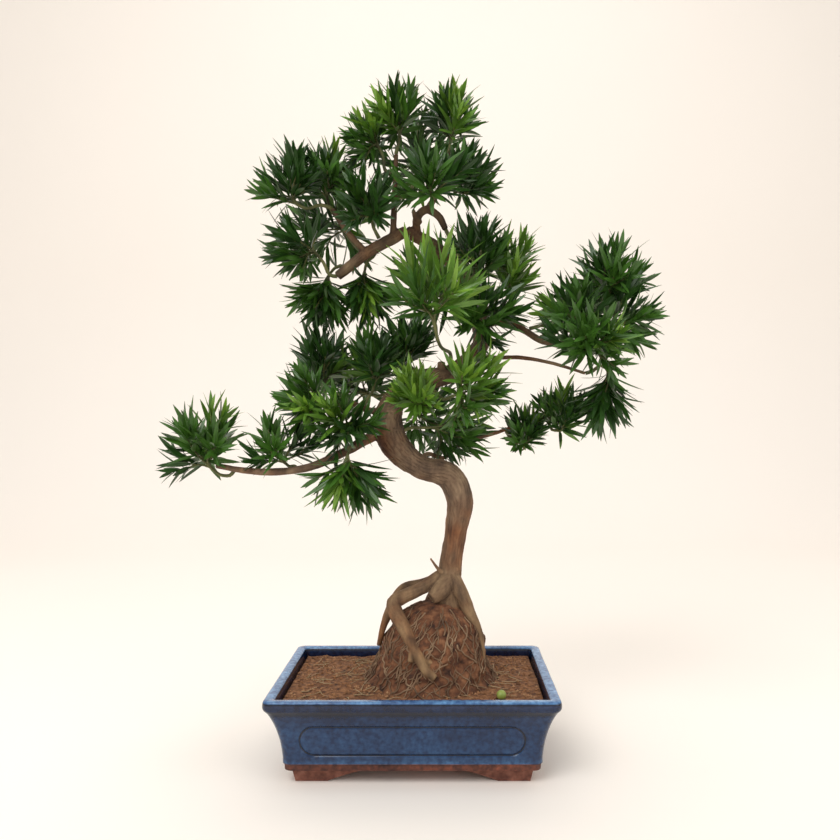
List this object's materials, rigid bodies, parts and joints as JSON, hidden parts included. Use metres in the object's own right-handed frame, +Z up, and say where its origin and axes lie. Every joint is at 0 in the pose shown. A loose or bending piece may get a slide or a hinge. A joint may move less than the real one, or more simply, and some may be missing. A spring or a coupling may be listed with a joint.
{
  "type": "potted bonsai tree",
  "caption": "Small bonsai conifer with bent trunk and narrow leaves, rooted over a bare root ball in a low rectangular blue glazed pot on corner feet.",
  "frame": {"origin": "centre of the whole plant's footprint, on the surface that the pot's feet stand on", "axes": "+Z up along the plant's height, +X to the right of the front view, +Y to the back"},
  "size_m": [0.4582, 0.2341, 0.6398],
  "materials": {
    "glaze": "glossy mottled blue glaze",
    "terracotta": "matt unglazed brick red clay",
    "soil": "matt grainy earth",
    "root_ball": "matt earth bound by fine roots",
    "bark": "matt fissured bark",
    "leaves": "satin dark green leaves"
  },
  "bodies": {
    "root": {"pot": "glaze", "soil": "soil", "root_ball": "root_ball", "trunk": "bark", "pot_foot_front_left": "terracotta", "pot_foot_front_right": "terracotta", "pot_foot_back_left": "terracotta", "pot_foot_back_right": "terracotta", "bough_top_left": "bark", "bough_top_left_side": "bark", "bough_apex_left": "bark", "bough_arch": "bark", "bough_apex_right": "bark", "bough_right_upper": "bark", "bough_right_mid": "bark", "bough_right_low": "bark", "bough_left_low": "bark", "bough_left_mid": "bark", "bough_back_top": "bark", "bough_back_low": "bark", "foliage_crest_left": "leaves", "foliage_crest_right": "leaves", "foliage_crest_front": "leaves", "foliage_crest_east": "leaves", "foliage_crest_west": "leaves", "foliage_crest_back": "leaves", "foliage_upper_left_tip": "leaves", "foliage_upper_left_rise": "leaves", "foliage_upper_left_heart": "leaves", "foliage_upper_left_low": "leaves", "foliage_upper_left_drop": "leaves", "foliage_upper_mid_drop": "leaves", "foliage_upper_left_back": "leaves", "foliage_plume": "leaves", "foliage_centre_top": "leaves", "foliage_spray": "leaves", "foliage_centre_heart": "leaves", "foliage_centre_back": "leaves", "foliage_left_crest": "leaves", "foliage_left_crest_inner": "leaves", "foliage_left_shelf_tip": "leaves", "foliage_left_shelf": "leaves", "foliage_left_back": "leaves", "foliage_centre_low": "leaves", "foliage_left_end": "leaves", "foliage_left_run": "leaves", "foliage_left_hanging": "leaves", "foliage_right_top": "leaves", "foliage_right_inner": "leaves", "foliage_right_outer": "leaves", "foliage_right_front": "leaves", "foliage_right_back": "leaves", "foliage_right_fall": "leaves", "foliage_right_low_end": "leaves", "foliage_right_low_tuft": "leaves", "foliage_front_right": "leaves", "foliage_low_right": "leaves", "foliage_front_tuft": "leaves", "foliage_low_back": "leaves"}
  },
  "joints": []
}
